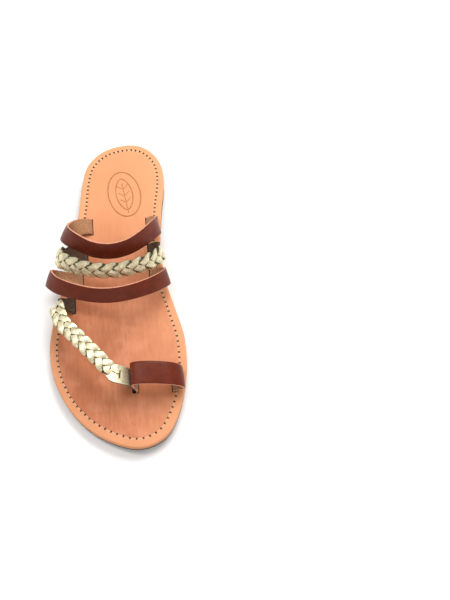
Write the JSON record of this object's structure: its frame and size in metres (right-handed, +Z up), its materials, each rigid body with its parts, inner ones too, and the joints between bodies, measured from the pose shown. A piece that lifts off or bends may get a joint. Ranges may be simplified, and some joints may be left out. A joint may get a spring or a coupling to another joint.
{
  "type": "toe loop slide sandal",
  "caption": "Flat leather slide sandal for the right foot, with plain and plaited straps over the instep, a diagonal plait and a loop round the big toe.",
  "frame": {"origin": "on the ground, under the middle of the sandal's box", "axes": "+Z up, +Y towards the heel, -Y towards the toe, +X towards the inner side of the foot, where the big toe is"},
  "size_m": [0.1022, 0.248, 0.048],
  "materials": {
    "tan_leather": "vegetable-tanned sole leather, smooth, satin, burnished edge",
    "brown_leather": "smooth red-brown strap leather with a low sheen, raw edges",
    "gold_leather": "pale gold foiled leather, crackled, satin metallic",
    "sole_rubber": "matt black sheet rubber",
    "waxed_thread": "waxed twisted sewing thread"
  },
  "bodies": {
    "rear": {"insole_rear": "tan_leather", "midsole_rear": "tan_leather", "outsole_rear": "sole_rubber", "heel_lift": "sole_rubber", "rear_band": "brown_leather", "instep_plait": "gold_leather", "front_band": "brown_leather", "needle_thread_rear": "waxed_thread", "bobbin_thread_rear": "waxed_thread"},
    "forefoot": {"insole_fore": "tan_leather", "midsole_fore": "tan_leather", "outsole_fore": "sole_rubber", "diagonal_plait": "gold_leather", "toe_band": "brown_leather", "needle_thread_fore": "waxed_thread", "bobbin_thread_fore": "waxed_thread"}
  },
  "joints": [
    {"name": "toe_flex", "type": "hinge", "parent": "rear", "child": "forefoot", "pos_m": [0, -0.0105, 0.0093], "axis": [-0.9354, 0.3535, 0], "range_deg": [0, 25], "stiffness_Nm_per_rad": 1.5}
  ]
}
